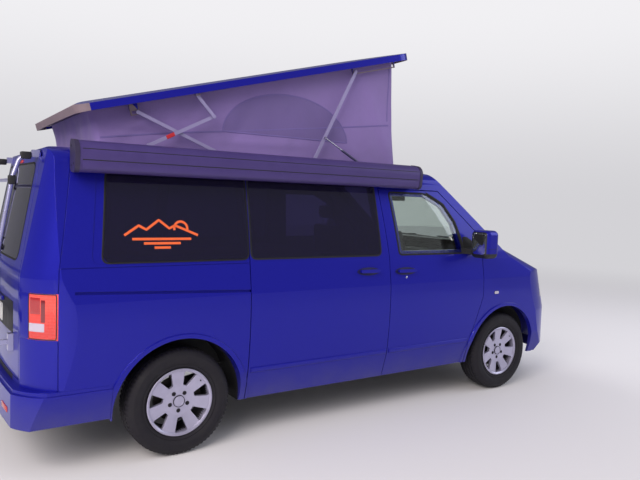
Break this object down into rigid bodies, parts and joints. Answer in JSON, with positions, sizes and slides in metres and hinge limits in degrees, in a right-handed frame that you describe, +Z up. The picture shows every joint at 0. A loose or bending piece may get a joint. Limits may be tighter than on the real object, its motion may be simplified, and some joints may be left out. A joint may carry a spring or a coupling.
{
  "type": "camper van with a rising roof",
  "caption": "Panel-sided camper van with a tilting roof tent, side awning, tailgate bicycle rack, opening doors and bonnet, and steering front wheels.",
  "frame": {"origin": "on the ground, at the centre of the van's box seen from above", "axes": "+X forward, +Y to the van's left, +Z up"},
  "size_m": [4.993, 2.34, 2.8621],
  "materials": {
    "body_paint": "deep violet-blue metallic clearcoat",
    "black_plastic": "fine-grained black moulding",
    "dark_glass": "dark tinted safety glass",
    "clear_glass": "laminated clear glass with a green cast",
    "lamp_clear": "clear lens over a bright reflector",
    "lamp_red": "red lens with a pale band",
    "tyre_rubber": "road rubber",
    "silver_rim": "silver lacquered casting",
    "chassis_black": "black underbody coating",
    "grey_casting": "plain casting",
    "steel_pipe": "dull stainless pipe",
    "bar_grey": "satin grey powder coat",
    "strut_steel": "ground rod",
    "awning_black": "anthracite powder coat",
    "rack_silver": "satin anodised tube",
    "tent_fabric": "mauve-grey coated canvas",
    "seat_fabric": "dark grey woven cloth",
    "dash_plastic": "soft grained dashboard",
    "cabinet_board": "light laminated board"
  },
  "bodies": {
    "body": {"awning": "awning_black", "awning_brackets": "awning_black", "bar_feet": "bar_grey", "body_sides": "body_paint", "cowl": "black_plastic", "dashboard": "dash_plastic", "engine_block": "grey_casting", "exhaust": "steel_pipe", "firewall": "chassis_black", "floor_pan": "chassis_black", "front_bumper": "body_paint", "front_liners": "black_plastic", "front_seats": "seat_fabric", "front_suspension": "chassis_black", "front_wings": "body_paint", "fuel_tank": "black_plastic", "grille": "black_plastic", "headlamps": "lamp_clear", "kitchen_unit": "cabinet_board", "rear_axle": "chassis_black", "rear_bench": "seat_fabric", "rear_bumper": "body_paint", "roof_panel": "body_paint", "side_windows": "dark_glass", "sliding_door": "body_paint", "steering_wheel": "dash_plastic", "tail_lamps": "lamp_red", "tail_panel": "body_paint", "tent": "tent_fabric", "windscreen": "clear_glass"},
    "door_right": {"door_right": "body_paint", "door_glass_right": "clear_glass", "mirror_right": "body_paint"},
    "door_left": {"door_left": "body_paint", "door_glass_left": "clear_glass", "mirror_left": "body_paint"},
    "tailgate": {"tailgate": "body_paint", "tailgate_glass": "dark_glass", "bike_rack": "rack_silver"},
    "bonnet": {"bonnet": "body_paint"},
    "pop_roof": {"roof_shell": "body_paint"},
    "rear_arms": {"rear_arms": "bar_grey"},
    "rear_levers": {"rear_levers": "bar_grey"},
    "knee_links": {"knee_links": "bar_grey"},
    "front_arms": {"front_arms": "bar_grey"},
    "strut_tubes": {"strut_tubes": "bar_grey"},
    "strut_rods": {"strut_rods": "strut_steel"},
    "knuckle_right": {"knuckle_right": "grey_casting"},
    "knuckle_left": {"knuckle_left": "grey_casting"},
    "wheel_front_right": {"tyre_front_right": "tyre_rubber", "rim_front_right": "silver_rim"},
    "wheel_front_left": {"tyre_front_left": "tyre_rubber", "rim_front_left": "silver_rim"},
    "wheel_rear_right": {"tyre_rear_right": "tyre_rubber", "rim_rear_right": "silver_rim"},
    "wheel_rear_left": {"tyre_rear_left": "tyre_rubber", "rim_rear_left": "silver_rim"}
  },
  "joints": [
    {"name": "front_door_right", "type": "hinge", "parent": "body", "child": "door_right", "pos_m": [1.2805, -0.956, 1], "axis": [0, 0, 1], "range_deg": [0, 66]},
    {"name": "front_door_left", "type": "hinge", "parent": "body", "child": "door_left", "pos_m": [1.2805, 0.956, 1], "axis": [0, 0, -1], "range_deg": [0, 66]},
    {"name": "tailgate", "type": "hinge", "parent": "body", "child": "tailgate", "pos_m": [-2.1735, 0, 1.906], "axis": [0, 1, 0], "range_deg": [0, 84]},
    {"name": "bonnet", "type": "hinge", "parent": "body", "child": "bonnet", "pos_m": [1.7055, 0, 1.278], "axis": [0, -1, 0], "range_deg": [0, 60]},
    {"name": "roof_lift", "type": "hinge", "parent": "body", "child": "pop_roof", "pos_m": [-2.65833, 0, 2.11923], "axis": [0, 1, 0], "range_deg": [0, 15.3], "deforming": ["tent"]},
    {"name": "rear_arm_fold", "type": "hinge", "parent": "body", "child": "rear_arms", "pos_m": [-1.1095, 0, 1.95], "axis": [0, 1, 0], "range_deg": [-28.94, 0]},
    {"name": "rear_lever_fold", "type": "hinge", "parent": "body", "child": "rear_levers", "pos_m": [-1.5595, 0, 1.951], "axis": [0, 1, 0], "range_deg": [0, 36.64]},
    {"name": "knee_fold", "type": "hinge", "parent": "rear_levers", "child": "knee_links", "pos_m": [-1.1257, 0, 2.173], "axis": [0, 1, 0], "range_deg": [-64.01, 0]},
    {"name": "front_arm_fold", "type": "hinge", "parent": "body", "child": "front_arms", "pos_m": [-0.3005, 0, 1.943], "axis": [0, 1, 0], "range_deg": [0, 64.95]},
    {"name": "strut_swing", "type": "hinge", "parent": "body", "child": "strut_tubes", "pos_m": [0.1115, 0, 1.937], "axis": [0, 1, 0], "range_deg": [-27.51, 0]},
    {"name": "strut_stroke", "type": "slide", "parent": "strut_tubes", "child": "strut_rods", "axis": [-0.8882, 0, 0.4594], "range_m": [-0.1415, 0]},
    {"name": "steer_right", "type": "hinge", "parent": "body", "child": "knuckle_right", "pos_m": [1.5885, -0.69, 0.34], "axis": [0, 0, 1], "range_deg": [-35, 35]},
    {"name": "steer_left", "type": "hinge", "parent": "body", "child": "knuckle_left", "pos_m": [1.5885, 0.69, 0.34], "axis": [0, 0, 1], "range_deg": [-35, 35]},
    {"name": "wheel_front_right_spin", "type": "hinge", "parent": "knuckle_right", "child": "wheel_front_right", "pos_m": [1.5885, -0.814, 0.34], "axis": [0, 1, 0], "continuous": true},
    {"name": "wheel_front_left_spin", "type": "hinge", "parent": "knuckle_left", "child": "wheel_front_left", "pos_m": [1.5885, 0.814, 0.34], "axis": [0, 1, 0], "continuous": true},
    {"name": "wheel_rear_right_spin", "type": "hinge", "parent": "body", "child": "wheel_rear_right", "pos_m": [-1.4115, -0.814, 0.34], "axis": [0, 1, 0], "continuous": true},
    {"name": "wheel_rear_left_spin", "type": "hinge", "parent": "body", "child": "wheel_rear_left", "pos_m": [-1.4115, 0.814, 0.34], "axis": [0, 1, 0], "continuous": true}
  ],
  "couplings": [
    {"joint": "rear_arm_fold", "follows": "roof_lift", "ratio": -1.8883},
    {"joint": "rear_lever_fold", "follows": "roof_lift", "ratio": 2.3914},
    {"joint": "knee_fold", "follows": "roof_lift", "ratio": -4.1802},
    {"joint": "front_arm_fold", "follows": "roof_lift", "ratio": 4.2418},
    {"joint": "strut_swing", "follows": "roof_lift", "ratio": -1.795},
    {"joint": "strut_stroke", "follows": "roof_lift", "m_per_rad": -0.5295},
    {"joint": "steer_left", "follows": "steer_right", "ratio": 1}
  ]
}
